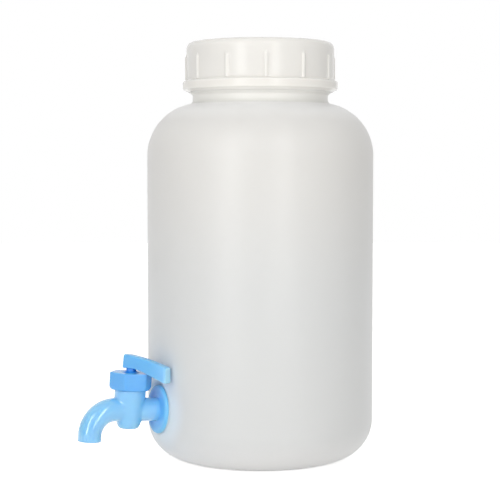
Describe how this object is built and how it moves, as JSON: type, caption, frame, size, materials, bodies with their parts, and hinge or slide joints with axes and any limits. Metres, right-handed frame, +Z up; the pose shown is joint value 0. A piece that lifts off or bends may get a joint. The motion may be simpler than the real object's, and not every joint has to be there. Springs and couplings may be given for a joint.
{
  "type": "carboy with spigot",
  "caption": "Wide-mouth plastic carboy with rounded shoulders, a ribbed screw cap and a quarter-turn plug-valve spigot low on its side.",
  "frame": {"origin": "centre of the bottle's base, on the surface it stands on and on the bottle's axis", "axes": "+Z up along the bottle's axis towards the cap; -Y points out to the side with the spigot; +X is to the right when the spigot is seen from the front"},
  "size_m": [0.168, 0.229, 0.3088],
  "materials": {
    "bottle": "satin, blow moulded polyethylene",
    "cap": "glossy, injection moulded polypropylene",
    "liner": "soft foamed disc",
    "tap": "glossy, pale blue",
    "tap_stem": "glossy, pale blue, deeper in the shade",
    "tap_lever": "glossy, pale blue",
    "gasket": "matte, soft",
    "thrust": "satin"
  },
  "bodies": {
    "bottle": {"bottle": "bottle", "spigot_body": "tap", "outer_gasket": "gasket", "inner_gasket": "gasket", "lock_nut": "tap", "thrust_ring": "thrust", "bonnet_nut": "tap"},
    "seal": {"cap_liner": "liner"},
    "cap": {"cap": "cap"},
    "valve": {"plug": "tap_stem", "lever": "tap_lever"}
  },
  "joints": [
    {"name": "cap_lift", "type": "slide", "parent": "bottle", "child": "seal", "axis": [0, 0, 1], "range_m": [0, 0.042]},
    {"name": "cap_turn", "type": "hinge", "parent": "seal", "child": "cap", "pos_m": [0, 0, 0.29], "axis": [0, 0, 1], "range_deg": [0, 1260]},
    {"name": "valve_turn", "type": "hinge", "parent": "bottle", "child": "valve", "pos_m": [0, -0.10606, 0.04259], "axis": [0, 0.0628, 0.998], "range_deg": [-90, 0]}
  ],
  "couplings": [
    {"joint": "cap_lift", "follows": "cap_turn", "m_per_rad": 0.0019098}
  ]
}
